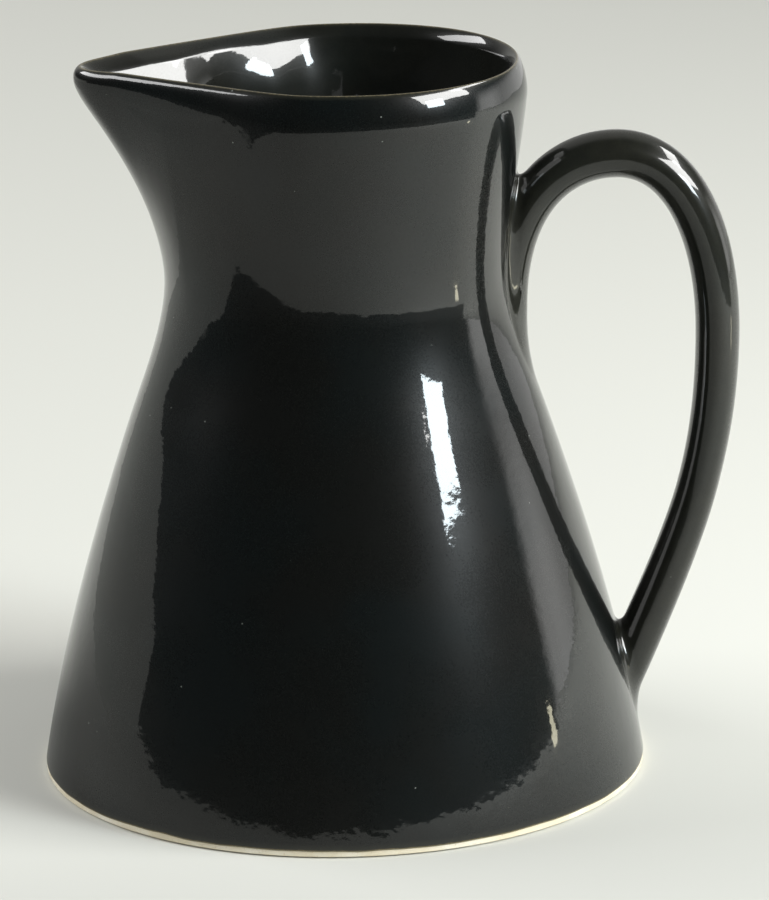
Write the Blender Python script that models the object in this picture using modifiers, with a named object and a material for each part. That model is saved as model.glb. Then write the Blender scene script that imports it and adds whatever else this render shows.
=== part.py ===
# Creamer: a slip-cast stoneware jug with a pulled pouring lip, a loop handle and a bare clay foot.
# Metres, +Z up. The lip points to -X and the handle to +X. The origin lies on the table, under
# the middle of the creamer's outline as seen from the side.

import math

import bmesh
import bpy
from mathutils import Vector
from mathutils.geometry import interpolate_bezier

# Vessel, outside: radius and height of the stations that its outline runs through.
HEIGHT = 0.1135
FOOT_RADIUS = 0.0480
HIP_HEIGHT = 0.0580
HIP_RADIUS = 0.03245
WAIST_HEIGHT = 0.0800
WAIST_RADIUS = 0.0268
LIP_RADIUS = 0.0304

# How fast the radius changes with height at the foot, hip and lip; at the waist it doesn't.
FOOT_SLOPE = -0.170
HIP_SLOPE = -0.345
LIP_SLOPE = 0.04

# Vessel, wall and base.
WALL = 0.0030
LIP_ROUNDING = 0.0030
FLOOR = 0.0036
FLOOR_FILLET = 0.0080
BASE_EDGE = 0.0006
RECESS_DEPTH = 0.0009
RECESS_SLOPE_WIDTH = 0.0016

# Bare clay foot ring.
FOOT_RING_HEIGHT = 0.0010
FOOT_RING_WIDTH = 0.0048
FOOT_RING_EDGE = 0.00025

# Pulled lip: two straight flanks that meet in a rounded tip. Pulling it bulges the rim's
# shoulders a little and lets the tip dip.
SPOUT_FLANK = 0.0281
SPOUT_HALF_ANGLE = math.radians(39.3)
SPOUT_TIP_RADIUS = 0.0070
FLANK_END = 0.2
SPOUT_START = 0.0790
SPOUT_CURL_HEIGHT = 0.1065
SPOUT_CURL_REACH = 0.0081
SPOUT_START_SLOPE = 0.05
SPOUT_CURL_SLOPE = 0.56
SPOUT_LIP_SLOPE = -0.20
SHOULDER_BULGE = 0.0013
SHOULDER_SPAN = math.radians(112)
TIP_DIP = 0.0004
TIP_DIP_SPAN = math.radians(14)

# Handle: where its centre line passes, and half its thickness there.
TAIL_HEIGHT = 0.0560
ROOT_HEIGHT = 0.0745
ROOT_SINK = 0.0003
ROOT_LEAN = math.radians(0.5)
TAIL_SINK = 0.0003
CROWN_REACH = 0.0437
CROWN_HEIGHT = 0.0979
SIDE_REACH = 0.0596
SIDE_HEIGHT = 0.0694
SHIN_REACH = 0.0565
SHIN_HEIGHT = 0.0440
SHIN_LEAN = math.radians(14)
TOE_HEIGHT = 0.0130
TOE_SINK = 0.0010
TOE_TENON = 0.0065
TOE_LEAN = math.radians(24)
ROOT_HALF = 0.0033
CROWN_HALF = 0.0037
SIDE_HALF = 0.00345
SHIN_HALF = 0.0032
TOE_HALF = 0.0035
HANDLE_FLATNESS = 1.28

# How far the centre line runs straight on either side of a knot, as a share of the height of
# the stretch that it bends through.
ROOT_ARM = 0.60
CROWN_ARMS = (0.45, 0.39)
SIDE_ARMS = (0.49, 0.39)
SHIN_ARMS = (0.31, 0.28)
TOE_ARM = 0.28
END_ARM = 1 / 3

# Joints: the gap between touching pieces, and the radius of the slip fillet in each corner.
SEAT_GAP = 0.0003
SLIP_FILLET = 0.0012

# Fineness of the facets: steps, how much the rings crowd towards the waist, and the edge
# angle that stays sharp.
TURN_STEPS = 64
NECK_STEPS = 12
HIP_STEPS = 11
LIP_STEPS = 6
FILLET_STEPS = 4
HANDLE_STEPS = 12
HANDLE_SIDES = 5
SEAM_POINTS = 40
SEAM_SAMPLES = 30
SLIP_STEPS = 4
WAIST_CROWDING = 1.4
SHARP_ANGLE = math.radians(50)
MERGE_DISTANCE = 0.00001

base_height = FOOT_RING_HEIGHT + SEAT_GAP
floor_height = base_height + RECESS_DEPTH + FLOOR
ring_inner_radius = FOOT_RADIUS - FOOT_RING_WIDTH
vessel_axis_x = (FOOT_RADIUS - SIDE_REACH - SIDE_HALF) / 2

GLAZE = ((0.010, 0.011, 0.010), 0.06)
SLIP_GLAZE = ((0.014, 0.015, 0.012), 0.08)
CLAY = ((0.76, 0.68, 0.53), 0.85)


def clear_scene():
    for item in list(bpy.data.objects):
        bpy.data.objects.remove(item, do_unlink=True)


def new_collection(name):
    collection = bpy.data.collections.new(name)
    bpy.context.scene.collection.children.link(collection)
    return collection


def new_material(name, look):
    colour, roughness = look
    material = bpy.data.materials.new(name)
    material.use_nodes = True
    shader = material.node_tree.nodes["Principled BSDF"]
    shader.inputs["Base Color"].default_value = (*colour, 1.0)
    shader.inputs["Roughness"].default_value = roughness
    shader.inputs["Metallic"].default_value = 0.0
    material.diffuse_color = (*colour, 1.0)
    return material


def smooth_curve(height, stations):
    """Value at a height on the cubic curve through stations of (height, value, slope)."""
    for (z0, v0, m0), (z1, v1, m1) in zip(stations[:-1], stations[1:]):
        if height <= z1 or z1 == stations[-1][0]:
            span = z1 - z0
            t = (height - z0) / span
            rise = t * t * (3 - 2 * t)
            leave = t * (1 - t) ** 2
            arrive = t * t * (t - 1)
            return v0 + (v1 - v0) * rise + span * (m0 * leave + m1 * arrive)


def outer_radius(height):
    return smooth_curve(height, [
        (0.0, FOOT_RADIUS, FOOT_SLOPE),
        (HIP_HEIGHT, HIP_RADIUS, HIP_SLOPE),
        (WAIST_HEIGHT, WAIST_RADIUS, 0.0),
        (HEIGHT, LIP_RADIUS, LIP_SLOPE),
    ])


def spread(start, end, steps):
    """Evenly spaced values from start to end, both included."""
    return [start + (end - start) * i / steps for i in range(steps + 1)]


def wall_heights(top, bottom):
    """Heights of the wall's rings, close together where the waist curves most."""
    fall = WAIST_HEIGHT - bottom
    hip = [WAIST_HEIGHT - fall * share ** WAIST_CROWDING for share in spread(0.0, 1.0, HIP_STEPS)]
    return spread(top, WAIST_HEIGHT, NECK_STEPS) + hip[1:]


def rounded_corner(start, corner, end, steps):
    """Points of a curve from start to end that hugs the corner between them."""
    knots = [Vector((r, 0.0, z)) for r, z in (start, corner, corner, end)]
    return [(p.x, p.z) for p in interpolate_bezier(*knots, steps + 1)]


def vessel_profile():
    """Half section of the vessel: floor, inner wall, lip, outer wall, base and recess."""
    lip_start = HEIGHT - LIP_ROUNDING
    fillet_top = floor_height + FLOOR_FILLET
    floor_corner = (outer_radius(floor_height) - WALL, floor_height)
    profile = [(0.0, floor_height)]
    profile += rounded_corner(
        (floor_corner[0] - FLOOR_FILLET, floor_height), floor_corner,
        (outer_radius(fillet_top) - WALL, fillet_top), FILLET_STEPS)
    profile += [(outer_radius(z) - WALL, z) for z in reversed(wall_heights(lip_start, fillet_top)[:-1])]
    for angle in spread(math.pi, 0.0, LIP_STEPS)[1:-1]:
        z = lip_start + LIP_ROUNDING * math.sin(angle)
        profile.append((outer_radius(z) - WALL / 2 + WALL / 2 * math.cos(angle), z))
    edge_top = base_height + BASE_EDGE
    profile += [(outer_radius(z), z) for z in wall_heights(lip_start, edge_top)]
    base_corner = (outer_radius(base_height), base_height)
    profile += rounded_corner(
        (outer_radius(edge_top), edge_top), base_corner,
        (base_corner[0] - BASE_EDGE, base_height), FILLET_STEPS)[1:]
    profile.append((ring_inner_radius, base_height))
    profile.append((ring_inner_radius - RECESS_SLOPE_WIDTH, base_height + RECESS_DEPTH))
    profile.append((0.0, base_height + RECESS_DEPTH))
    return profile


def lip_plan(angle, depth):
    """Distance from the axis to the lip's outline seen from above.

    angle is measured from the tip's direction, and depth is how far inside the outer skin
    the outline runs, so that every layer of the wall is pulled alike.
    """
    circle = LIP_RADIUS - depth
    flank = SPOUT_FLANK - depth
    tip = SPOUT_TIP_RADIUS - depth
    flank_normal = math.pi / 2 - SPOUT_HALF_ANGLE
    tip_centre = (flank - tip) / math.sin(SPOUT_HALF_ANGLE)
    tip_end = math.atan2(tip * math.sin(flank_normal), tip_centre + tip * math.cos(flank_normal))
    if angle < tip_end:
        return tip_centre * math.cos(angle) + math.sqrt(tip**2 - (tip_centre * math.sin(angle)) ** 2)
    straight = flank / max(math.cos(angle - flank_normal), FLANK_END)
    if angle < flank_normal:
        return straight
    blend = circle - flank
    overlap = max(blend - abs(straight - circle), 0.0)
    return min(straight, circle) - overlap**2 / (4 * blend)


def shoulder_bulge(angle):
    """How far the rim swells between the handle's side and the flank; angle is from the handle."""
    return SHOULDER_BULGE * math.sin(math.pi * min(angle / SHOULDER_SPAN, 1.0)) ** 2


def pull_lip(mesh):
    """Draws the lip out of the turned rim, fading to nothing down the neck."""
    reach = lip_plan(0.0, 0.0) - LIP_RADIUS
    stations = [
        (SPOUT_START, 0.0, SPOUT_START_SLOPE),
        (SPOUT_CURL_HEIGHT, SPOUT_CURL_REACH, SPOUT_CURL_SLOPE),
        (HEIGHT, reach, SPOUT_LIP_SLOPE),
    ]
    for vertex in mesh.vertices:
        x, y, z = vertex.co
        radius = math.hypot(x, y)
        if z <= SPOUT_START or radius == 0.0:
            continue
        share = smooth_curve(z, stations) / reach
        depth = outer_radius(z) - radius
        from_tip = math.atan2(abs(y), -x)
        shift = lip_plan(from_tip, depth) - (LIP_RADIUS - depth) + shoulder_bulge(math.pi - from_tip)
        vertex.co.x += share * shift * x / radius
        vertex.co.y += share * shift * y / radius
        vertex.co.z -= share * TIP_DIP * max(1.0 - (from_tip / TIP_DIP_SPAN) ** 2, 0.0)


def turned(name, profile):
    """A solid of revolution, from a half section that runs down its outer side."""
    mesh = bpy.data.meshes.new(name)
    edges = [(i, i + 1) for i in range(len(profile) - 1)]
    mesh.from_pydata([(r, 0.0, z) for r, z in profile], edges, [])
    outline = bpy.data.objects.new(name + "_outline", mesh)
    bpy.context.scene.collection.objects.link(outline)
    screw = outline.modifiers.new("turn", "SCREW")
    screw.steps = TURN_STEPS
    screw.render_steps = TURN_STEPS
    screw.use_merge_vertices = True
    screw.merge_threshold = MERGE_DISTANCE
    return solid_from(outline, name)


def solid_from(source, name):
    """The source object's evaluated shape as a plain mesh object; the source is removed."""
    bpy.context.view_layer.update()
    shape = source.evaluated_get(bpy.context.evaluated_depsgraph_get())
    mesh = bpy.data.meshes.new_from_object(shape)
    mesh.name = name
    mesh.transform(source.matrix_world)
    work = bmesh.new()
    work.from_mesh(mesh)
    bmesh.ops.remove_doubles(work, verts=work.verts, dist=MERGE_DISTANCE)
    work.to_mesh(mesh)
    work.free()
    bpy.data.objects.remove(source, do_unlink=True)
    return bpy.data.objects.new(name, mesh)


def heading(lean):
    """Direction in the handle's plane that leans from straight up towards the handle's side."""
    return Vector((math.sin(lean), 0.0, math.cos(lean)))


def handle_knots():
    """Knots of the centre line from inside the neck to inside the hip.

    Each is its place, direction, arm before it, arm after it and half thickness.
    """
    up, over, down = heading(0.0), heading(math.pi / 2), heading(math.pi)
    root = Vector((WAIST_RADIUS - ROOT_SINK, 0.0, ROOT_HEIGHT))
    tail = Vector((root.x - TAIL_SINK, 0.0, TAIL_HEIGHT))
    crown = Vector((CROWN_REACH, 0.0, CROWN_HEIGHT))
    side = Vector((SIDE_REACH, 0.0, SIDE_HEIGHT))
    shin = Vector((SHIN_REACH, 0.0, SHIN_HEIGHT))
    toe = Vector((outer_radius(TOE_HEIGHT) - TOE_SINK, 0.0, TOE_HEIGHT))
    into_hip = heading(math.pi + TOE_LEAN)
    rise = CROWN_HEIGHT - ROOT_HEIGHT
    fall = CROWN_HEIGHT - SIDE_HEIGHT
    leg = SIDE_HEIGHT - SHIN_HEIGHT
    ankle = SHIN_HEIGHT - TOE_HEIGHT
    tail_arm = (ROOT_HEIGHT - TAIL_HEIGHT) * END_ARM
    tenon_arm = TOE_TENON * END_ARM
    return [
        (tail, up, 0.0, tail_arm, ROOT_HALF),
        (root, heading(ROOT_LEAN), tail_arm, rise * ROOT_ARM, ROOT_HALF),
        (crown, over, rise * CROWN_ARMS[0], fall * CROWN_ARMS[1], CROWN_HALF),
        (side, down, fall * SIDE_ARMS[0], leg * SIDE_ARMS[1], SIDE_HALF),
        (shin, heading(math.pi + SHIN_LEAN), leg * SHIN_ARMS[0], ankle * SHIN_ARMS[1], SHIN_HALF),
        (toe, into_hip, ankle * TOE_ARM, tenon_arm, TOE_HALF),
        (toe + into_hip * TOE_TENON, into_hip, tenon_arm, 0.0, TOE_HALF),
    ]


def oval_stretch(grow):
    """How much wider than thick the handle's oval is, when it is larger all round by grow."""
    return (SIDE_HALF * HANDLE_FLATNESS + grow) / (SIDE_HALF + grow)


def handle_rod(name, grow):
    """The handle's whole oval rod, larger all round by grow."""
    knots = handle_knots()
    curve = bpy.data.curves.new(name, "CURVE")
    curve.dimensions = "3D"
    curve.resolution_u = HANDLE_STEPS
    curve.bevel_depth = 1.0
    curve.bevel_resolution = HANDLE_SIDES
    curve.use_fill_caps = True
    spline = curve.splines.new("BEZIER")
    spline.bezier_points.add(len(knots) - 1)
    for point, (place, direction, before, after, half) in zip(spline.bezier_points, knots):
        point.handle_left_type = point.handle_right_type = "FREE"
        point.co = place
        point.handle_left = place - direction * before
        point.handle_right = place + direction * after
        point.radius = half + grow
    rod = bpy.data.objects.new(name + "_curve", curve)
    bpy.context.scene.collection.objects.link(rod)
    rod.scale.y = oval_stretch(grow)
    return solid_from(rod, name)


def rod_stations():
    """Centre, thickness direction and half thickness, close together from tail to tenon."""
    knots = handle_knots()
    centres = []
    for (start, leave, _, after, half), (end, arrive, before, _, next_half) in zip(knots, knots[1:]):
        bend = (start, start + leave * after, end - arrive * before, end)
        points = interpolate_bezier(*bend, SEAM_SAMPLES + 1)[:-1]
        centres += [(point, half + (next_half - half) * i / SEAM_SAMPLES) for i, point in enumerate(points)]
    stations = []
    for (centre, half), (following, _) in zip(centres, centres[1:]):
        along = (following - centre).normalized()
        stations.append((centre, Vector((along.z, 0.0, -along.x)), half))
    return stations


def seam(stations, grow_rod, grow_wall):
    """The loop where the rod meets the wall, each larger by its own amount.

    The stations run from the open handle into the wall, and each line along the rod's skin
    is followed until it passes through the wall.
    """
    stretch = oval_stretch(grow_rod)
    loop = []
    for turn in spread(0.0, math.tau, SEAM_POINTS)[:-1]:
        last = None
        for centre, across, half in stations:
            size = half + grow_rod
            point = centre + across * (size * math.cos(turn))
            point.y += size * stretch * math.sin(turn)
            clear = math.hypot(point.x, point.y) - outer_radius(point.z) - grow_wall
            if clear < 0.0:
                break
            last = (point, clear)
        loop.append(last[0].lerp(point, last[1] / (last[1] - clear)))
    return loop


def vessel_form(name, grow):
    """A plain turned block with the vessel's outer outline, larger all round by grow."""
    outline = [(outer_radius(z) + grow, z) for z in wall_heights(HEIGHT, 0.0)]
    return turned(name, [(0.0, HEIGHT), *outline, (0.0, 0.0)])


def boolean(piece, operation, cutter):
    modifier = piece.modifiers.new(operation.lower(), "BOOLEAN")
    modifier.operation = operation
    modifier.object = cutter


class Assembly:
    """Puts pieces and cutters in their collections, all hung on one empty at the vessel's axis."""

    def __init__(self):
        self.parts = new_collection("creamer")
        self.cutters = new_collection("creamer_cutters")
        self.axis = bpy.data.objects.new("vessel_axis", None)
        self.axis.location.x = vessel_axis_x
        self.parts.objects.link(self.axis)

    def add_piece(self, piece, look):
        self.parts.objects.link(piece)
        piece.parent = self.axis
        piece.data.materials.clear()
        piece.data.materials.append(new_material(piece.name + "_finish", look))
        piece.data.shade_smooth()
        piece.data.set_sharp_from_angle(angle=SHARP_ANGLE)
        return piece

    def add_cutter(self, cutter):
        self.cutters.objects.link(cutter)
        cutter.parent = self.axis
        cutter.hide_render = True
        cutter.display_type = "WIRE"
        return cutter


def make_vessel(assembly):
    vessel = turned("vessel_body", vessel_profile())
    pull_lip(vessel.data)
    return assembly.add_piece(vessel, GLAZE)


def make_foot_ring(assembly):
    """The unglazed ring that the creamer stands on, with softly worn edges."""
    outer, inner, top, edge = FOOT_RADIUS, ring_inner_radius, FOOT_RING_HEIGHT, FOOT_RING_EDGE
    section = [
        (inner + edge, top), (outer - edge, top), (outer, top - edge), (outer, edge),
        (outer - edge, 0.0), (inner + edge, 0.0), (inner, edge), (inner, top - edge), (inner + edge, top),
    ]
    return assembly.add_piece(turned("foot_ring", section), CLAY)


def make_handle(assembly, wall_cutter):
    handle = assembly.add_piece(handle_rod("handle", 0.0), GLAZE)
    boolean(handle, "DIFFERENCE", wall_cutter)
    return handle


def make_slip_joint(assembly, name, stations):
    """The hollow fillet of slip in the corner all round a handle's end, lofted from seam to seam."""
    outer = SEAT_GAP + SLIP_FILLET
    sections = [(SEAT_GAP, SEAT_GAP)]
    for turn in spread(0.0, math.pi / 2, SLIP_STEPS):
        sections.append((outer - SLIP_FILLET * math.sin(turn), outer - SLIP_FILLET * math.cos(turn)))
    work = bmesh.new()
    loops = [[work.verts.new(point) for point in seam(stations, *grow)] for grow in sections]
    for loop, following in zip(loops, loops[1:] + loops[:1]):
        for i in range(SEAM_POINTS):
            work.faces.new((loop[i - 1], loop[i], following[i], following[i - 1]))
    bmesh.ops.recalc_face_normals(work, faces=work.faces)
    mesh = bpy.data.meshes.new(name)
    work.to_mesh(mesh)
    work.free()
    return assembly.add_piece(bpy.data.objects.new(name, mesh), SLIP_GLAZE)


def main():
    clear_scene()
    assembly = Assembly()
    make_vessel(assembly)
    make_foot_ring(assembly)
    make_handle(assembly, assembly.add_cutter(vessel_form("wall_cutter", SEAT_GAP)))
    stations = rod_stations()
    crown = next(i for i, station in enumerate(stations) if station[0].x >= CROWN_REACH)
    make_slip_joint(assembly, "upper_slip_joint", stations[crown::-1])
    make_slip_joint(assembly, "lower_slip_joint", stations[crown:])
    bpy.context.view_layer.update()


main()
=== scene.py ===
# Creamer in black glaze: a jug with a pulled lip, a loop handle and a bare clay foot.
# Lengths are metres. The lip points to -X, the handle to +X, and the table is z = 0.
import math

import bmesh
import bpy
import numpy as np
from mathutils import Matrix, Vector, noise
from mathutils.geometry import interpolate_bezier


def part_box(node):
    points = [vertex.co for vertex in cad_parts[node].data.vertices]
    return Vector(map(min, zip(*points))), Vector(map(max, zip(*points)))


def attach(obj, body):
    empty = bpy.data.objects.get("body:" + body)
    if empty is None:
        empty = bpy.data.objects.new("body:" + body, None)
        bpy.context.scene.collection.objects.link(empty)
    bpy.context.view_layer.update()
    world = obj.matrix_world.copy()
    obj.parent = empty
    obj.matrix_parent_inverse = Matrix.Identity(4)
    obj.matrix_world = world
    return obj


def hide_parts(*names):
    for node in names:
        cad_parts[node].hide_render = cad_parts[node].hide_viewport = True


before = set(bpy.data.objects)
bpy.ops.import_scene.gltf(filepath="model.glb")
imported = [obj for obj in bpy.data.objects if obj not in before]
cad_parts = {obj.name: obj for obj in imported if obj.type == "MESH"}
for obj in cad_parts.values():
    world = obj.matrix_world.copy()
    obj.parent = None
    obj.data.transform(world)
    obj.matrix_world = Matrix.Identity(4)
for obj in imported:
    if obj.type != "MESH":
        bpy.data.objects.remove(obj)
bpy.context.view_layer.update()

bodyLow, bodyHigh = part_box("vessel_body")
ringLow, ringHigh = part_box("foot_ring")
axisX = (ringLow.x + ringHigh.x) / 2          # the vessel's own axis
footRadius = (ringHigh.x - ringLow.x) / 2
rimHeight = bodyHigh.z
print("frame loaded, nodes:", sorted(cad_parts))


# Curves that more than one piece follows

def throughStations(stations, at):            # cubic through (place, value, slope)
    for (a0, v0, m0), (a1, v1, m1) in zip(stations[:-1], stations[1:]):
        if at <= a1 or a1 == stations[-1][0]:
            span = a1 - a0
            t = (at - a0) / span
            return (v0 + (v1 - v0) * t * t * (3 - 2 * t)
                    + span * (m0 * t * (1 - t) ** 2 + m1 * t * t * (t - 1)))


def softStep(share):                          # 0 to 1, with level ends
    share = min(max(share, 0.0), 1.0)
    return share * share * (3 - 2 * share)


def softened(values, spread):                 # a run of values, blurred over a few neighbours
    reach = int(3 * spread)
    weights = np.exp(-0.5 * (np.arange(-reach, reach + 1) / spread) ** 2)
    ends = np.pad(values, reach, mode="reflect", reflect_type="odd")
    return np.convolve(ends, weights / weights.sum(), mode="valid")


outline = {
    "stations": [(0.0, footRadius, -0.157), (0.0580, 0.03245, -0.345), (0.0800, 0.02680, 0.0),
                 (rimHeight, 0.03040, 0.04)],
    "softness": 0.0016,
    "step": 0.0001,
    "margin": 0.004,
}
pull = {
    "flank": 0.0281,                          # from the axis to each straight flank
    "flankEnd": 0.2,                          # the least cosine that the flank is divided by
    "halfAngle": math.radians(38.9),
    "tipRadius": 0.0070,
    "start": 0.0790,
    "curlHeight": 0.1065,
    "curlReach": 0.0081,
    "slopes": (0.05, 0.56, -0.20),
    "bulge": 0.0013,
    "bulgeSpan": math.radians(112),
    "tipDip": 0.0004,
    "tipDipSpan": math.radians(14),
    "planBlur": math.radians(2.2),
    "flankLead": 0.6,                         # below 1 the wall beside the spout comes in lower down
    "softness": 0.0014,
    "hollow": 0.00010,                        # a shallow finger mark under the lip on each flank
    "hollowTop": 0.0042,
    "hollowTall": 0.0044,
    "hollowSpan": (math.radians(14), math.radians(56)),
}
rimRadius = outline["stations"][-1][1]

heightGrid = np.arange(-outline["margin"], rimHeight + outline["margin"], outline["step"])
radiusGrid = softened(
    np.array([throughStations(outline["stations"], z) for z in heightGrid]),
    outline["softness"] / outline["step"])


def lipPlan(angle, depth):                    # lip seen from above; depth is how far inside the skin
    angle = abs(angle)
    circle, flank, tip = rimRadius - depth, pull["flank"] - depth, pull["tipRadius"] - depth
    normal = math.pi / 2 - pull["halfAngle"]
    tipCentre = (flank - tip) / math.sin(pull["halfAngle"])
    tipEnd = math.atan2(tip * math.sin(normal), tipCentre + tip * math.cos(normal))
    if angle < tipEnd:
        return tipCentre * math.cos(angle) + math.sqrt(tip**2 - (tipCentre * math.sin(angle)) ** 2)
    straight = flank / max(math.cos(angle - normal), pull["flankEnd"])
    if angle < normal:
        return straight
    blend = circle - flank
    overlap = max(blend - abs(straight - circle), 0.0)
    return min(straight, circle) - overlap**2 / (4 * blend)


def lipShift(angle, depth):                   # how far the pull moves the rim, eased over a few degrees
    taps = ((-1.5, 0.13), (-0.75, 0.22), (0.0, 0.30), (0.75, 0.22), (1.5, 0.13))
    plan = sum(share * lipPlan(angle + tap * pull["planBlur"], depth) for tap, share in taps)
    fromHandle = min((math.pi - angle) / pull["bulgeSpan"], 1.0)
    return plan - (rimRadius - depth) + pull["bulge"] * math.sin(math.pi * fromHandle) ** 2


reachAtTip = lipPlan(0.0, 0.0) - rimRadius
pullStations = [(pull["start"], 0.0, pull["slopes"][0]),
                (pull["curlHeight"], pull["curlReach"], pull["slopes"][1]),
                (rimHeight, reachAtTip, pull["slopes"][2])]
pullGrid = softened(
    np.array([throughStations(pullStations, z) / reachAtTip if z > pull["start"] else 0.0
              for z in heightGrid]),
    pull["softness"] / outline["step"])


def outerRadius(z):
    return float(np.interp(z, heightGrid, radiusGrid))


def pullShare(z):
    return float(np.interp(z, heightGrid, pullGrid))


def pulled(point):                            # a point of the turned form, after the lip is pulled
    radius = math.hypot(point.x, point.y)
    share = pullShare(point.z)
    if radius < 1e-7 or share < 1e-5:
        return point.copy()
    fromTip = math.atan2(abs(point.y), -point.x)
    shift = lipShift(fromTip, outerRadius(point.z) - radius)
    if shift < 0.0:                           # beside the spout the wall comes in lower down
        shift *= share ** (pull["flankLead"] - 1.0)
    move = share * shift / radius
    dip = share * pull["tipDip"] * max(1.0 - (fromTip / pull["tipDipSpan"]) ** 2, 0.0)
    return Vector((point.x * (1 + move), point.y * (1 + move), point.z - dip))


def fingerMark(point, fromTip):               # how deep the hollow under the lip is at a point
    near, far = pull["hollowSpan"]
    along = (fromTip - near) / (far - near)
    if not 0.0 < along < 1.0:
        return 0.0
    tall = pull["hollowTall"] * math.sin(math.pi * along)
    down = (rimHeight - pull["hollowTop"] - point.z) / max(tall, 1e-6)
    if not 0.0 < down < 1.0:
        return 0.0
    return pull["hollow"] * math.sin(math.pi * along) * math.sin(math.pi * down) ** 2


def wallClearance(point):                     # how far a point by the handle is outside the wall
    fromHandle = math.atan2(abs(point.y), point.x)
    wall = outerRadius(point.z) + pullShare(point.z) * lipShift(math.pi - fromHandle, 0.0)
    return math.hypot(point.x, point.y) - wall


handMade = {"amount": 0.00006, "wave": 0.017, "fade": 0.006}


def settled(point):                           # the small unevenness of cast and glazed clay
    drift = noise.noise_vector(point / handMade["wave"]) * handMade["amount"]
    return point + drift * min(max(point.z, 0.0) / handMade["fade"], 1.0)


def finishPiece(mesh, name, material, slotName, *nodes):
    made = bpy.data.meshes.new(name)
    bmesh.ops.translate(mesh, verts=mesh.verts, vec=(axisX, 0.0, 0.0))
    bmesh.ops.recalc_face_normals(mesh, faces=mesh.faces)
    mesh.to_mesh(made)
    mesh.free()
    made.materials.append(material)
    made.shade_smooth()
    piece = bpy.data.objects.new(name, made)
    bpy.context.scene.collection.objects.link(piece)
    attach(piece, "root")
    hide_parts(*nodes)
    print(name, "made,", len(made.polygons), "faces")


# Shader nodes

class Value:                                  # a socket that sums and products can be written with
    def __init__(self, nodes, socket):
        self.nodes, self.socket = nodes, socket

    def combine(self, operation, first, second):
        return self.nodes.add("ShaderNodeMath", {"operation": operation}, {0: first, 1: second})

    def __add__(self, other):
        return self.combine("ADD", self, other)

    def __sub__(self, other):
        return self.combine("SUBTRACT", self, other)

    def __rsub__(self, other):
        return self.combine("SUBTRACT", other, self)

    def __mul__(self, other):
        return self.combine("MULTIPLY", self, other)

    def __gt__(self, other):
        return self.combine("GREATER_THAN", self, other)

    __radd__ = __add__


class NodeSet:                                # the nodes of one material, or of the world
    def __init__(self, tree):
        self.tree = tree

    def add(self, kind, settings=None, values=None, output=0):
        node = self.tree.nodes.new(kind)
        for name, setting in (settings or {}).items():
            setattr(node, name, setting)
        for name, value in (values or {}).items():
            self.feed(node.inputs[name], value)
        return Value(self, node.outputs[output])

    def feed(self, socket, value):
        if isinstance(value, Value):
            self.tree.links.new(value.socket, socket)
        elif socket.type == "RGBA":
            socket.default_value = (*value, 1.0)
        else:
            socket.default_value = value

    def mixColour(self, share, first, second):
        return self.add("ShaderNodeMix", {"data_type": "RGBA"}, {0: share, 6: first, 7: second}, 2)

    def smoothStep(self, value, low, high):   # 0 below low, 1 above high
        return self.add("ShaderNodeMapRange", {"interpolation_type": "SMOOTHSTEP"},
                        {0: value, 1: low, 2: high, 3: 0.0, 4: 1.0})


def newMaterial(name):
    material = bpy.data.materials.new(name)
    material.use_nodes = True
    nodes = NodeSet(material.node_tree)
    return material, nodes, material.node_tree.nodes["Principled BSDF"]


glaze = {
    "black": (0.0036, 0.0040, 0.0034),
    "tealBlack": (0.0030, 0.0048, 0.0048),
    "olive": (0.030, 0.030, 0.021),
    "edgeBrown": (0.17, 0.14, 0.075),         # where the glaze runs out above the foot
    "speck": (0.20, 0.22, 0.20),
    "cloudSize": 0.020,                       # patches of the teal black
    "cloudEdge": (0.35, 0.70),
    "oliveGrain": 0.0016,
    "oliveShare": (0.55, 0.9),
    "brownGrain": 0.0005,
    "brownRagged": 0.3,
    "brownEdge": (0.60, 0.95),
    "refraction": 1.52,
    "roughness": 0.035,
    "thinRoughness": 0.05,
    "peelSize": 0.0009,
    "peelHeight": 0.0000050,
    "waveSize": 0.0070,
    "waveHeight": 0.000060,
    "hazeRoughness": 0.32,
    "hazeWeight": (0.20, 0.36),
    "hazeEdge": (0.30, 0.70),
    "mottleSize": 0.00030,
    "driftSize": 0.012,
    "speckSpacing": 0.0045,
    "speckSize": 0.030,                       # as a share of the spacing
    "speckCore": 0.6,
    "speckRarity": 0.45,                      # the share of places without a speck
    "speckDent": -0.00002,
}


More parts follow.
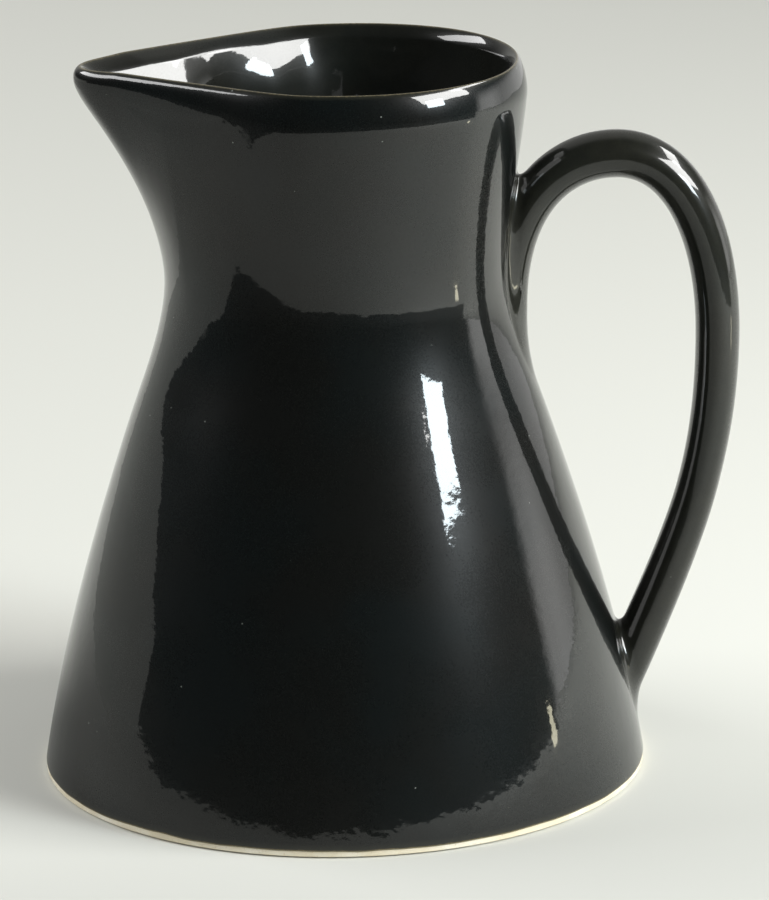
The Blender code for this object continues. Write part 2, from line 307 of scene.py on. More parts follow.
def makeGlaze():
    material, nodes, surface = newMaterial("blackGlaze")
    place = nodes.add("ShaderNodeTexCoord", output=3)

    def grain(size, detail=2.0):
        return nodes.add("ShaderNodeTexNoise", {"noise_dimensions": "3D"},
                         {"Vector": place, "Scale": 1 / size, "Detail": detail, "Roughness": 0.5})

    thin = nodes.add("ShaderNodeAttribute", {"attribute_name": "glazeThin"}, output=2)
    cloud = nodes.smoothStep(grain(glaze["cloudSize"]), *glaze["cloudEdge"])
    colour = nodes.mixColour(cloud, glaze["black"], glaze["tealBlack"])
    least, more = glaze["oliveShare"]
    colour = nodes.mixColour(thin * (least + grain(glaze["oliveGrain"]) * more), colour, glaze["olive"])
    ragged = thin + grain(glaze["brownGrain"]) * glaze["brownRagged"]
    colour = nodes.mixColour(nodes.smoothStep(ragged, *glaze["brownEdge"]), colour, glaze["edgeBrown"])
    cell = nodes.add("ShaderNodeTexVoronoi", {"feature": "F1"},
                     {"Vector": place, "Scale": 1 / glaze["speckSpacing"]})
    chance = nodes.add("ShaderNodeTexVoronoi", {"feature": "F1"},
                       {"Vector": place, "Scale": 1 / glaze["speckSpacing"]}, output=1)
    lucky = nodes.add("ShaderNodeSeparateColor", values={0: chance}) > glaze["speckRarity"]
    core = glaze["speckSize"] * glaze["speckCore"]
    speck = (1.0 - nodes.smoothStep(cell, core, glaze["speckSize"])) * lucky
    colour = nodes.mixColour(speck, colour, glaze["speck"])
    peel = grain(glaze["peelSize"]) * glaze["peelHeight"]
    wave = grain(glaze["waveSize"], 3.0) * glaze["waveHeight"]
    dent = speck * glaze["speckDent"]
    relief = nodes.add("ShaderNodeBump", values={"Strength": 1.0, "Distance": 1.0,
                                                 "Height": peel + wave + dent})
    low, high = glaze["hazeWeight"]
    mottle = nodes.smoothStep(grain(glaze["mottleSize"], 3.0), *glaze["hazeEdge"]) * 0.5
    drift = nodes.smoothStep(grain(glaze["driftSize"]), *glaze["hazeEdge"]) * 0.5
    haze = low + (mottle + drift) * (high - low)
    nodes.feed(surface.inputs["Base Color"], colour)
    nodes.feed(surface.inputs["Roughness"], glaze["roughness"] + thin * glaze["thinRoughness"])
    nodes.feed(surface.inputs["Normal"], relief)
    nodes.feed(surface.inputs["Coat Weight"], haze)
    surface.inputs["Coat Roughness"].default_value = glaze["hazeRoughness"]
    surface.inputs["IOR"].default_value = glaze["refraction"]
    return material


clay = {
    "cream": (0.70, 0.63, 0.47),
    "warm": (0.58, 0.47, 0.30),
    "pale": (0.80, 0.76, 0.64),
    "patchScale": 190.0,
    "patchEdge": (0.35, 0.70),
    "sandScale": 2600.0,
    "sandEdge": (0.58, 0.75),
    "sandShare": 0.6,
    "sandHeight": 0.00004,
    "roughness": 0.78,
    "sandRoughness": 0.2,
    "bump": 0.6,
}


def makeClay():
    material, nodes, surface = newMaterial("bareClay")
    place = nodes.add("ShaderNodeTexCoord", output=3)
    patches = nodes.add("ShaderNodeTexNoise", {},
                        {"Vector": place, "Scale": clay["patchScale"], "Detail": 4.0})
    sand = nodes.add("ShaderNodeTexNoise", {},
                     {"Vector": place, "Scale": clay["sandScale"], "Detail": 3.0})
    colour = nodes.mixColour(nodes.smoothStep(patches, *clay["patchEdge"]), clay["cream"], clay["pale"])
    grains = nodes.smoothStep(sand, *clay["sandEdge"]) * clay["sandShare"]
    colour = nodes.mixColour(grains, colour, clay["warm"])
    nodes.feed(surface.inputs["Base Color"], colour)
    nodes.feed(surface.inputs["Roughness"], clay["roughness"] + sand * clay["sandRoughness"])
    nodes.feed(surface.inputs["Normal"], nodes.add(
        "ShaderNodeBump", values={"Strength": clay["bump"], "Distance": 1.0,
                                  "Height": sand * clay["sandHeight"]}))
    return material


blackGlaze = makeGlaze()
bareClay = makeClay()
print("materials made")


# Glazed vessel

vessel = {
    "spinSteps": 320,
    "wall": 0.0032,
    "lipCrest": 0.0019,                       # from the outer skin to the top of the lip
    "lipOutside": 0.0056,                     # how far the lip's rounding runs down each side
    "lipInside": 0.0021,
    "outsideArms": (0.30, 0.40),              # how full the rounding is at the crest and at its end
    "insideArms": (0.35, 0.30),
    "tipSharp": (0.35, 1.5),                  # the lip is thinner and fuller at the spout's tip
    "tipSharpSpan": (math.radians(14), math.radians(84)),
    "throatDepth": 0.0034,                    # the wall is thicker below the spout's lip
    "throatPeak": 0.0090,
    "throatEnd": 0.0300,
    "throatSpan": (math.radians(62), math.radians(98)),
    "throatGroove": math.radians(28),         # thinner again along the spout's middle, to this share
    "throatMiddle": 0.5,
    "throatDip": (0.55, math.radians(46), math.radians(20)),
    "floor": 0.0058,
    "floorFillet": 0.0080,
    "glazeLine": 0.00105,                     # where the glaze stops above the table
    "glazeEdge": 0.00025,
    "glazeWaver": 0.00020,
    "waverTop": 0.0040,                       # the glaze line's waver ends at this height
    "waverDepth": 0.0010,
    "waverFade": 0.0026,
    "waverScales": (3.1, 11.0),
    "waverShare": 0.6,
    "crestThin": 0.65,                        # glazeThin on the lip's crest; it is 1 at the glaze line
    "crestTall": 0.0006,                      # the height over which each fades out
    "footTall": 0.0005,
    "footDepth": 0.0006,
    "insideThin": 0.15,
    "insideFrom": 0.8,                        # as a share of the wall
    "baseHeight": 0.0013,
    "ringWidth": 0.0048,                      # as wide as the clay foot
    "recessTop": 0.0022,
    "recessSlope": 0.0016,
    "wallRings": 118,
    "innerRings": 60,
    "lipRings": 22,
    "filletRings": 10,
    "edgeRings": 5,
}


def roundedCorner(start, corner, end, steps, arms=(1.0, 1.0)):
    start, corner, end = (Vector((r, 0.0, z)) for r, z in (start, corner, end))
    leave, arrive = start.lerp(corner, arms[0]), end.lerp(corner, arms[1])
    return [(p.x, p.z) for p in interpolate_bezier(start, leave, arrive, end, steps + 1)]


def vesselProfile():
    floorTop, fillet, wall = vessel["floor"], vessel["floorFillet"], vessel["wall"]
    filletTop = floorTop + fillet
    corner = (outerRadius(floorTop) - wall, floorTop)
    profile = [(0.0, floorTop), ((corner[0] - fillet) / 2, floorTop)]
    profile += roundedCorner((corner[0] - fillet, floorTop), corner,
                             (outerRadius(filletTop) - wall, filletTop), vessel["filletRings"])
    inside, outside = rimHeight - vessel["lipInside"], rimHeight - vessel["lipOutside"]
    for z in np.linspace(filletTop, inside, vessel["innerRings"])[1:]:
        profile.append((outerRadius(z) - wall, z))
    skin = outerRadius(rimHeight)
    crest = (skin - vessel["lipCrest"], rimHeight)
    profile += roundedCorner(profile[-1], (skin - wall, rimHeight), crest,
                             vessel["lipRings"], vessel["insideArms"][::-1])[1:-1]
    profile += roundedCorner(crest, (skin, rimHeight), (outerRadius(outside), outside),
                             vessel["lipRings"], vessel["outsideArms"])[:-1]
    edgeTop = vessel["glazeLine"] + vessel["glazeEdge"]
    for z in np.linspace(outside, edgeTop, vessel["wallRings"]):
        profile.append((outerRadius(z), z))
    under = outerRadius(vessel["glazeLine"]) - vessel["glazeEdge"]
    profile += roundedCorner((outerRadius(edgeTop), edgeTop),
                             (outerRadius(vessel["glazeLine"]), vessel["glazeLine"]),
                             (under, vessel["glazeLine"]), vessel["edgeRings"])[1:]
    ringInner = footRadius - vessel["ringWidth"]
    profile += [(ringInner, vessel["baseHeight"]),
                (ringInner - vessel["recessSlope"], vessel["recessTop"]), (0.0, vessel["recessTop"])]
    return profile


def throat(point, depth):                     # extra wall inside the spout, below its lip
    below = rimHeight - point.z
    if not 0.0 < below < vessel["throatEnd"]:
        return 0.0
    if below < vessel["throatPeak"]:
        share = math.sin(math.pi / 2 * below / vessel["throatPeak"])
    else:
        after = (below - vessel["throatPeak"]) / (vessel["throatEnd"] - vessel["throatPeak"])
        share = math.cos(math.pi / 2 * after) ** 2
    fromTip = math.atan2(abs(point.y), -point.x)
    near, far = vessel["throatSpan"]
    share *= 1.0 - softStep((fromTip - near) / (far - near))
    middle = vessel["throatMiddle"]
    share *= middle + (1.0 - middle) * softStep(fromTip / vessel["throatGroove"])
    dip, dipAt, dipWidth = vessel["throatDip"]
    share *= 1.0 - dip * math.exp(-((fromTip - dipAt) / dipWidth) ** 2)
    return vessel["throatDepth"] * share * softStep(2 * depth / vessel["wall"] - 1.0)


def sharpened(depth, fromTip):                # depth into the wall, after the lip is thinned at the tip
    near, far = vessel["tipSharpSpan"]
    atTip = 1.0 - softStep((fromTip - near) / (far - near))
    thinner, fuller = (most * atTip for most in vessel["tipSharp"])
    crest, wall = vessel["lipCrest"], vessel["wall"]
    if depth <= 0.0 or depth >= wall or not thinner:
        return depth
    if depth < crest:
        return crest * (1.0 - thinner) * (depth / crest) ** (1.0 + fuller)
    return wall - (wall - depth) * (wall - crest * (1.0 - thinner)) / (wall - crest)


def makeVessel():
    mesh = bmesh.new()
    thin = mesh.verts.layers.float.new("glazeThin")
    line = [mesh.verts.new((r, 0.0, z)) for r, z in vesselProfile()]
    edges = [mesh.edges.new(pair) for pair in zip(line[:-1], line[1:])]
    bmesh.ops.spin(mesh, geom=line + edges, cent=(0, 0, 0), axis=(0, 0, 1), dvec=(0, 0, 0),
                   angle=math.tau, steps=vessel["spinSteps"], use_merge=True, use_duplicate=False)
    bmesh.ops.remove_doubles(mesh, verts=mesh.verts, dist=1e-6)
    for vert in mesh.verts:
        point = vert.co.copy()
        radius = math.hypot(point.x, point.y)
        depth = outerRadius(point.z) - radius
        crest = max(0.0, 1.0 - (rimHeight - point.z) / vessel["crestTall"])
        atFoot = max(0.0, 1.0 - (point.z - vessel["glazeLine"]) / vessel["footTall"])
        inside = depth > vessel["wall"] * vessel["insideFrom"]
        vert[thin] = max(vessel["crestThin"] * crest, atFoot * (depth < vessel["footDepth"]),
                         vessel["insideThin"] * inside)
        extra = throat(point, depth)
        if point.z > rimHeight - vessel["lipOutside"] - pull["hollowTall"] and radius > 0.0:
            fromTip = math.atan2(abs(point.y), -point.x)
            extra += sharpened(depth, fromTip) - depth
            extra += fingerMark(point, fromTip) * (depth < vessel["lipCrest"])
        if extra:
            point.x, point.y = point.x * (1 - extra / radius), point.y * (1 - extra / radius)
        if point.z < vessel["waverTop"] and depth < vessel["waverDepth"]:
            ease = min(1.0, (vessel["waverTop"] - point.z) / vessel["waverFade"])
            around = Vector((point.x, point.y, 0.0)).normalized()
            broad, fine = (noise.noise(around * scale) for scale in vessel["waverScales"])
            point.z += ease * vessel["glazeWaver"] * (broad + vessel["waverShare"] * fine)
        vert.co = settled(pulled(point))
    finishPiece(mesh, "glazedVessel", blackGlaze, "glaze", "vessel_body")


makeVessel()


# Bare clay foot

foot = {
    "width": 0.0048,
    "inset": 0.00016,
    "top": 0.0024,
    "rings": (0.0016, 0.0010),                # heights between the top and the rounded edge
    "chamferFoot": 0.0012,
    "chamfer": 0.0008,
    "wear": 0.0009,
    "wearSize": 0.0025,
    "wearSpan": (0.0001, 0.0014),
    "round": 0.00062,
    "edge": 0.00022,                          # how far the outer edge stands off the table
    "edgeRound": 0.00018,
    "edgeRings": 4,
    "roundRings": 5,
    "undercut": 0.0017,
    "spinSteps": 320,
}


def makeFoot():
    mesh = bmesh.new()
    edge, edgeRound = foot["edge"], foot["edgeRound"]
    heights = (foot["top"], *foot["rings"], edge + edgeRound)
    outer = [(outerRadius(z) - foot["inset"], z) for z in heights]
    inner, rim = footRadius - foot["width"], outer[-1][0]
    bottom = roundedCorner(outer[-1], (rim, edge), (rim - edgeRound, edge), foot["edgeRings"])[1:]
    bottom.append((rim - foot["undercut"], 0.0))
    inside = roundedCorner((inner + foot["round"], 0.0), (inner, 0.0), (inner, foot["round"]),
                           foot["roundRings"])
    profile = outer + bottom + inside
    profile += [(inner, foot["chamferFoot"]), (inner + foot["chamfer"], foot["top"])]
    line = [mesh.verts.new((r, 0.0, z)) for r, z in profile]
    edges = [mesh.edges.new(pair) for pair in zip(line, line[1:] + line[:1])]
    bmesh.ops.spin(mesh, geom=line + edges, cent=(0, 0, 0), axis=(0, 0, 1), dvec=(0, 0, 0),
                   angle=math.tau, steps=foot["spinSteps"], use_merge=True, use_duplicate=False)
    bmesh.ops.remove_doubles(mesh, verts=mesh.verts, dist=1e-6)
    low, high = foot["wearSpan"]
    for vert in mesh.verts:
        worn = noise.noise(Vector((vert.co.x, vert.co.y, 0.0)) / foot["wearSize"])
        if low < vert.co.z < high:
            vert.co.x *= 1 - foot["wear"] * max(worn, 0.0)
            vert.co.y *= 1 - foot["wear"] * max(worn, 0.0)
    finishPiece(mesh, "clayFoot", bareClay, "clay", "foot_ring")


makeFoot()


# Handle and the two joints of slip that hold it

handle = {
    "tail": (0.0262, 0.0560), "root": (0.0265, 0.0745), "crown": (0.0437, 0.0979),
    "side": (0.0596, 0.0694), "shin": (0.0565, 0.0440), "toeHeight": 0.0130,
    "toeSink": 0.0010, "tenon": 0.0065,
    "rootLean": math.radians(0.5), "shinLean": math.radians(14), "toeLean": math.radians(24),
    "rootArm": 0.60, "crownArms": (0.45, 0.39), "sideArms": (0.49, 0.39), "shinArms": (0.31, 0.28),
    "toeArm": 0.28, "endArm": 1 / 3,
    "halves": (0.0033, 0.0033, 0.0037, 0.00345, 0.0032, 0.0035, 0.0035),
    "flatness": 1.28,                         # width over thickness, at a half thickness of plainHalf
    "plainHalf": 0.00345,
    "curvePoints": 400,
    "step": 0.00005,
    "softness": 0.0015,
    "around": 96,
    "rings": 210,
    "rootMark": 0.006,                        # where the search for each seam starts: this far before
    "shinMark": (0.0520, 0.0330),             # the crown, and at the rod's nearest point to this place
    "seamSteps": 60,
    "seamHalvings": 16,
    "fillet": 0.0019,
    "filletSteps": 16,
    "tuck": 0.0003,
    "sink": 0.000006,
    "intoWall": 0.0004,
    "intoRod": 0.0005,
    "thinGlaze": 0.30,
}


def heading(lean):                            # leans from straight up towards the handle's side
    return Vector((math.sin(lean), 0.0, math.cos(lean)))


def handleKnots():                            # place, direction, arm before, arm after
    tail, root, crown, side, shin = (
        Vector((handle[k][0], 0.0, handle[k][1])) for k in ("tail", "root", "crown", "side", "shin"))
    toeHeight = handle["toeHeight"]
    toe = Vector((outerRadius(toeHeight) - handle["toeSink"], 0.0, toeHeight))
    intoHip = heading(math.pi + handle["toeLean"])
    rise, fall = crown.z - root.z, crown.z - side.z
    leg, ankle = side.z - shin.z, shin.z - toeHeight
    tailArm = (root.z - tail.z) * handle["endArm"]
    tenonArm = handle["tenon"] * handle["endArm"]
    (crownIn, crownOut), (sideIn, sideOut) = handle["crownArms"], handle["sideArms"]
    shinIn, shinOut = handle["shinArms"]
    return [
        (tail, heading(0.0), 0.0, tailArm),
        (root, heading(handle["rootLean"]), tailArm, rise * handle["rootArm"]),
        (crown, heading(math.pi / 2), rise * crownIn, fall * crownOut),
        (side, heading(math.pi), fall * sideIn, leg * sideOut),
        (shin, heading(math.pi + handle["shinLean"]), leg * shinIn, ankle * shinOut),
        (toe, intoHip, ankle * handle["toeArm"], tenonArm),
        (toe + intoHip * handle["tenon"], intoHip, tenonArm, 0.0),
    ]


def handleRun():                              # centre line and half thickness, evenly along its length
    knots, halves, count = handleKnots(), handle["halves"], handle["curvePoints"]
    points, thickness = [], []
    for k in range(len(knots) - 1):
        (start, leave, _, after), (end, arrive, before, _) = knots[k], knots[k + 1]
        bend = interpolate_bezier(start, start + leave * after, end - arrive * before, end, count)
        for i, point in enumerate(bend[:-1]):
            t = i / (count - 1)
            points.append((point.x, point.z))
            thickness.append(halves[k] + (halves[k + 1] - halves[k]) * t * t * (3 - 2 * t))
    points, thickness = np.array(points), np.array(thickness)
    lengths = np.concatenate([[0.0], np.cumsum(np.hypot(*np.diff(points, axis=0).T))])
    even = np.arange(0.0, lengths[-1], handle["step"])
    blur = handle["softness"] / handle["step"]
    run = [softened(np.interp(even, lengths, column), blur)
           for column in (points[:, 0], points[:, 1], thickness)]
    return even, run[0], run[1], run[2], np.gradient(run[0], even), np.gradient(run[1], even)


runLength, runX, runZ, runHalf, runDx, runDz = handleRun()


def rodPoint(along, turn, grow):              # a point on the rod's skin, grown by a little
    x, z, half, dx, dz = (float(np.interp(along, runLength, run))
                          for run in (runX, runZ, runHalf, runDx, runDz))
    across = Vector((dz, 0.0, -dx)).normalized()
    half += grow
    plain = handle["plainHalf"]
    wide = half * (plain * handle["flatness"] + grow) / (plain + grow)
    point = Vector((x, 0.0, z)) + across * (half * math.cos(turn))
    point.y = wide * math.sin(turn)
    return point


def seamPlace(turn, growRod, growWall, away, inside):   # where a line on the rod meets the wall
    steps = np.linspace(away, inside, handle["seamSteps"])
    last = steps[0]
    for along in steps:
        if wallClearance(rodPoint(along, turn, growRod)) < growWall:
            break
        last = along
    for _ in range(handle["seamHalvings"]):
        middle = (last + along) / 2
        if wallClearance(rodPoint(middle, turn, growRod)) < growWall:
            along = middle
        else:
            last = middle
    return (last + along) / 2


handleTurns = [math.tau * i / handle["around"] for i in range(handle["around"])]
crownPlace = float(runLength[np.argmax(runZ)])
rodEnd = float(runLength[-1])
shinX, shinZ = handle["shinMark"]
shinPlace = float(runLength[np.argmin(np.hypot(runX - shinX, runZ - shinZ))])
rootReach = (crownPlace - handle["rootMark"], 0.0)
toeReach = (shinPlace, rodEnd)


def loftLoops(name, node, loops):             # a sheet bent round so that its rows follow the loops
    mesh = bmesh.new()
    around = len(handleTurns)
    bmesh.ops.create_grid(mesh, x_segments=len(loops) - 1, y_segments=around, size=1.0)
    thin = mesh.verts.layers.float.new("glazeThin")
    for vert in mesh.verts:
        row = round((vert.co.x + 1) / 2 * (len(loops) - 1))
        column = round((vert.co.y + 1) / 2 * around) % around
        vert.co = settled(loops[row][column])
        vert[thin] = handle["thinGlaze"]
    bmesh.ops.remove_doubles(mesh, verts=mesh.verts, dist=1e-7)
    bmesh.ops.holes_fill(mesh, edges=[edge for edge in mesh.edges if edge.is_boundary])
    finishPiece(mesh, name, blackGlaze, "glaze", node)


def makeHandle():
    tuck = handle["fillet"] - handle["tuck"]
    starts = [seamPlace(turn, 0.0, tuck, *rootReach) for turn in handleTurns]
    ends = [seamPlace(turn, 0.0, tuck, *toeReach) for turn in handleTurns]
    loops = []
    for share in np.linspace(0.0, 1.0, handle["rings"]):
        loops.append([rodPoint(start + (end - start) * share, turn, 0.0)
                      for turn, start, end in zip(handleTurns, starts, ends)])
    loftLoops("loopHandle", "handle", loops)


def makeJoint(name, node, reach):
    fillet, tuck, sink, intoWall, intoRod = (
        handle[k] for k in ("fillet", "tuck", "sink", "intoWall", "intoRod"))
    sections = [(0.0, -intoWall), (fillet + tuck, -intoWall), (fillet + tuck, -sink)]
    for turn in np.linspace(0.0, math.pi / 2, handle["filletSteps"]):
        sections.append((fillet * (1 - math.sin(turn)), fillet * (1 - math.cos(turn))))
    sections += [(-sink, fillet + tuck), (-intoRod, fillet + tuck), (-intoRod, -intoWall)]
    loops = [[rodPoint(seamPlace(turn, growRod, growWall, *reach), turn, growRod)
              for turn in handleTurns] for growRod, growWall in sections]
    loftLoops(name, node, loops + loops[:1])


makeHandle()
makeJoint("upperSlipJoint", "upper_slip_joint", rootReach)
makeJoint("lowerSlipJoint", "lower_slip_joint", toeReach)


# Table, world, lamps and camera

stageSet = {
    "floorSize": 0.9,
    "paperCentre": (0.055, -0.02, 0.0),       # the pale paper is round towards the camera,
    "paperRadius": 0.385,
    "paperLeft": -0.118,                      # runs on to the left behind this line,
    "paperRight": 89.0,                       # and to the right from this turn on
    "roundBlur": 0.006,                       # how soft each of those edges is
    "leftBlur": 0.005,
    "rightBlur": 1.0,
    "paperRoughness": 0.9,
    "paperSpecular": 0.15,
    "paperPale": (0.722, 0.727, 0.678),
    "paperNearShade": (0.600, 0.605, 0.568),       # painted shade: the paper's colour, darker towards the camera
    "nearShadeFade": (-0.075, 0.0),
    "nearShadeLean": 0.12,
    "paperShadeInGlaze": (0.375, 0.380, 0.355),        # painted shade: the paper as the glaze shows it, away from the lamps
    "shadeFront": (-30.0, 75.0),                # turns over which it fades out towards the lamps,
    "shadeBack": (-138.0, -106.0),              # and towards the back on the left
    "roomDark": (0.030, 0.032, 0.033),
    "backdrop": (0.86, 0.86, 0.835),
    "wallLeft": (0.54, 0.55, 0.50),
    "wallRight": (1.95, 1.95, 1.90),
    "leftEdge": (95.0, 0.0, 2.0),             # where a pale wall starts, turned from the camera,
    "rightEdge": (94.0, 0.1, 4.0),            # how its edge leans, and the edge's blur
    "leftTop": (-5.0, 1.0),                   # the rise over which each wall fades out
    "rightTop": (2.0, 18.0),
    "rightFade": (104.0, 122.0),
    "card": (0.38, 0.39, 0.36),               # a low card on the left that only the glaze shows; it glows in this colour, a painted reflection of a lit card
    "cardAway": 0.240,
    "cardTop": ((-0.036, 0.0475), (0.045, 0.081), (0.36, 0.081)),
    "sweep": (0.38, 0.38, 0.36),              # the backdrop's sweep up and over the creamer
    "sweepRise": (0.05, 0.50),
    "sweepWidth": (0.35, 0.75),
    "fill": (0.335, 0.335, 0.33),
    "aimHeight": 0.055,                       # what the lamps point at
}


def turnFrom(nodes, x, y):                    # degrees round from the camera's side, towards the handle
    return nodes.add("ShaderNodeMath", {"operation": "ARCTAN2"}, {0: x, 1: y * -1.0}) * math.degrees(1.0)


def makeFloor():
    mesh = bmesh.new()
    bmesh.ops.create_grid(mesh, x_segments=2, y_segments=2, size=stageSet["floorSize"])
    made = bpy.data.meshes.new("floor")
    mesh.to_mesh(made)
    mesh.free()
    floor = bpy.data.objects.new("floor", made)
    bpy.context.scene.collection.objects.link(floor)
    material, nodes, surface = newMaterial("paper")
    place = nodes.add("ShaderNodeTexCoord", output=3)
    x, y = (nodes.add("ShaderNodeSeparateXYZ", values={0: place}, output=i) for i in (0, 1))
    turn = turnFrom(nodes, x, y)
    edge, left, right = (stageSet[k] for k in ("paperRadius", "paperLeft", "paperRight"))
    roundBlur, leftBlur, rightBlur = (stageSet[k] for k in ("roundBlur", "leftBlur", "rightBlur"))
    reach = nodes.add("ShaderNodeVectorMath", {"operation": "DISTANCE"},
                      {0: place, 1: stageSet["paperCentre"]}, 1)
    beyond = nodes.smoothStep(reach, edge, edge + roundBlur)
    behind = nodes.smoothStep(y, left - leftBlur, left + leftBlur) * (1.0 - (x > 0.0))
    beyond = beyond * (1.0 - behind)
    beyond = beyond * (1.0 - nodes.smoothStep(turn, right - rightBlur, right + rightBlur))
    glossy = nodes.add("ShaderNodeLightPath", output=3)
    # painted shade: the paper darkens towards the camera and a little to the right
    away = nodes.smoothStep(y - x * stageSet["nearShadeLean"], *stageSet["nearShadeFade"])
    colour = nodes.mixColour(away, stageSet["paperNearShade"], stageSet["paperPale"])
    # painted shade on the paper, shown only in the glaze's reflections, away from the lamps
    dim = nodes.smoothStep(turn, *stageSet["shadeBack"])
    dim = dim * (1.0 - nodes.smoothStep(turn, *stageSet["shadeFront"]))
    colour = nodes.mixColour(dim * glossy, colour, stageSet["paperShadeInGlaze"])
    # painted reflection: past the paper's edge the lit floor shows the glaze the dark room's colour
    colour = nodes.mixColour(beyond * glossy, colour, stageSet["roomDark"])
    nodes.feed(surface.inputs["Base Color"], colour)
    surface.inputs["Roughness"].default_value = stageSet["paperRoughness"]
    surface.inputs["Specular IOR Level"].default_value = stageSet["paperSpecular"]
    made.materials.append(material)


def makeCard():
    mesh = bmesh.new()
    bmesh.ops.create_grid(mesh, x_segments=2, y_segments=1, size=1.0)
    for vert in mesh.verts:
        y, top = stageSet["cardTop"][round(vert.co.x) + 1]
        vert.co = (axisX - stageSet["cardAway"], y, top if vert.co.y > 0.0 else 0.0)
    made = bpy.data.meshes.new("sideCard")
    mesh.to_mesh(made)
    mesh.free()
    card = bpy.data.objects.new("sideCard", made)
    bpy.context.scene.collection.objects.link(card)
    material, _, surface = newMaterial("glowingCard")
    surface.inputs["Base Color"].default_value = (0.0, 0.0, 0.0, 1.0)
    # painted reflection: the card glows with its own pale colour instead of being lit by the lamps
    surface.inputs["Emission Color"].default_value = (*stageSet["card"], 1.0)
    surface.inputs["Emission Strength"].default_value = 1.0
    made.materials.append(material)
    card.visible_camera = card.visible_diffuse = card.visible_shadow = False


def makeWorld():
    world = bpy.data.worlds.new("studio")
    bpy.context.scene.world = world
    world.use_nodes = True
    nodes = NodeSet(world.node_tree)
    background = world.node_tree.nodes["Background"]
    direction = nodes.add("ShaderNodeTexCoord", output=0)
    x, y, z = (nodes.add("ShaderNodeSeparateXYZ", values={0: direction}, output=i) for i in (0, 1, 2))
    turn = turnFrom(nodes, x, y)
    rise = nodes.add("ShaderNodeMath", {"operation": "ARCSINE"}, {0: z}) * math.degrees(1.0)
    across = nodes.add("ShaderNodeMath", {"operation": "ABSOLUTE"}, {0: x})
    sweep = nodes.smoothStep(y, *stageSet["sweepRise"])
    sweep = sweep * (1.0 - nodes.smoothStep(across, *stageSet["sweepWidth"]))
    seen = nodes.mixColour(sweep, stageSet["roomDark"], stageSet["sweep"])
    far = nodes.smoothStep(turn, *stageSet["rightFade"])
    rightWall = nodes.mixColour(far, stageSet["wallRight"], stageSet["backdrop"])
    above = nodes.add("ShaderNodeMath", {"operation": "MAXIMUM"}, {0: rise, 1: 0.0})
    for side, wall, wallColour in ((-1.0, "left", stageSet["wallLeft"]), (1.0, "right", rightWall)):
        start, lean, blur = stageSet[wall + "Edge"]
        past = turn * side - above * lean - start
        pale = nodes.smoothStep(past, -blur, blur)
        pale = pale * (1.0 - nodes.smoothStep(rise, *stageSet[wall + "Top"]))
        seen = nodes.mixColour(pale, seen, wallColour)
    camera = nodes.add("ShaderNodeLightPath", output=0)
    glossy = nodes.add("ShaderNodeLightPath", output=3)
    colour = nodes.mixColour(glossy, stageSet["fill"], seen)
    colour = nodes.mixColour(camera, colour, stageSet["backdrop"])
    nodes.feed(background.inputs["Color"], colour)


lamps = {                                     # degrees; azimuths start at the camera's side
    "window": {"azimuths": (52.5, 65.0), "elevations": (14.5, 25.0), "distance": 0.92, "glow": 25.0,
               "colour": (0.84, 0.95, 1.0)},
    "softbox": {"azimuths": (48.0, 90.0), "elevations": (21.0, 42.0), "distance": 0.92, "glow": 16.0,
                "colour": (1.0, 1.0, 0.98)},
    "softTop": {"azimuths": (84.0, 126.0), "elevations": (36.0, 47.0), "distance": 0.92, "glow": 13.0,
                "colour": (1.0, 1.0, 0.98), "onlyGlaze": True},
    "leftBox": {"azimuths": (-130.0, -80.0), "elevations": (23.0, 38.0), "distance": 1.6, "glow": 8.5,
                "colour": (1.0, 1.0, 1.0)},
    "farStrip": {"azimuths": (82.0, 84.2), "elevations": (-10.3, -6.8), "distance": 0.30, "glow": 8.0,
                 "colour": (1.0, 0.95, 0.70)},
}


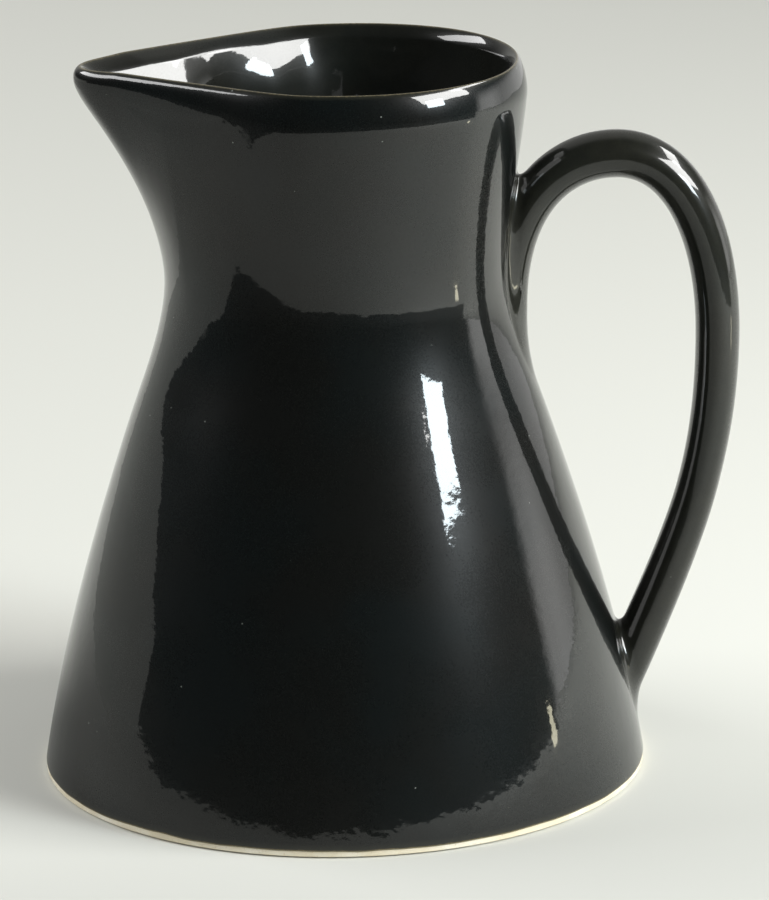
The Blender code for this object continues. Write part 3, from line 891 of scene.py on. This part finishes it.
def makeLamps():
    centre = Vector((axisX, 0.0, stageSet["aimHeight"]))
    for name, lamp in lamps.items():
        turns, rises = ([math.radians(a) for a in lamp[k]] for k in ("azimuths", "elevations"))
        turn, rise = sum(turns) / 2, sum(rises) / 2
        away = Vector((math.sin(turn) * math.cos(rise), -math.cos(turn) * math.cos(rise), math.sin(rise)))
        light = bpy.data.lights.new(name, "AREA")
        light.shape = "RECTANGLE"
        light.size = 2 * lamp["distance"] * math.tan((turns[1] - turns[0]) / 2) * math.cos(rise)
        light.size_y = 2 * lamp["distance"] * math.tan((rises[1] - rises[0]) / 2)
        light.energy = lamp["glow"] * math.pi * light.size * light.size_y
        light.color = lamp["colour"]
        holder = bpy.data.objects.new(name, light)
        bpy.context.scene.collection.objects.link(holder)
        holder.location = centre + away * lamp["distance"]
        holder.rotation_euler = away.to_track_quat("Z", "Y").to_euler()
        holder.visible_camera = False
        holder.visible_diffuse = not lamp.get("onlyGlaze", False)


photoView = {
    "place": (0.0, -0.74470, 0.26042),        # from the vessel's axis
    "pitch": math.radians(15.734),
    "yaw": math.radians(0.544),
    "roll": math.radians(-0.881),
    "focalPixels": 4903.0,
    "longSidePixels": 900.0,
    "sensor": 36.0,                           # millimetres, as Blender has it
    "clip": (0.05, 20.0),
}


def makeCamera():
    pitch, yaw, roll = (photoView[k] for k in ("pitch", "yaw", "roll"))
    ahead = Vector((math.sin(yaw) * math.cos(pitch), math.cos(yaw) * math.cos(pitch), -math.sin(pitch)))
    right = Vector((math.cos(yaw), -math.sin(yaw), 0.0))
    up = right.cross(ahead)
    tiltedRight = right * math.cos(roll) + up * math.sin(roll)
    tiltedUp = up * math.cos(roll) - right * math.sin(roll)
    lens = bpy.data.cameras.new("photoCamera")
    lens.sensor_width = photoView["sensor"]
    lens.lens = lens.sensor_width * photoView["focalPixels"] / photoView["longSidePixels"]
    lens.clip_start, lens.clip_end = photoView["clip"]
    camera = bpy.data.objects.new("photoCamera", lens)
    bpy.context.scene.collection.objects.link(camera)
    turn = Matrix((tiltedRight, tiltedUp, -ahead)).transposed().to_4x4()
    place = Vector(photoView["place"]) + Vector((axisX, 0.0, 0.0))
    camera.matrix_world = Matrix.Translation(place) @ turn
    bpy.context.scene.camera = camera


makeFloor()
makeCard()
makeWorld()
makeLamps()
makeCamera()
bpy.context.scene.view_settings.view_transform = "Standard"
print("stage, lamps and camera made")

bpy.context.view_layer.update()
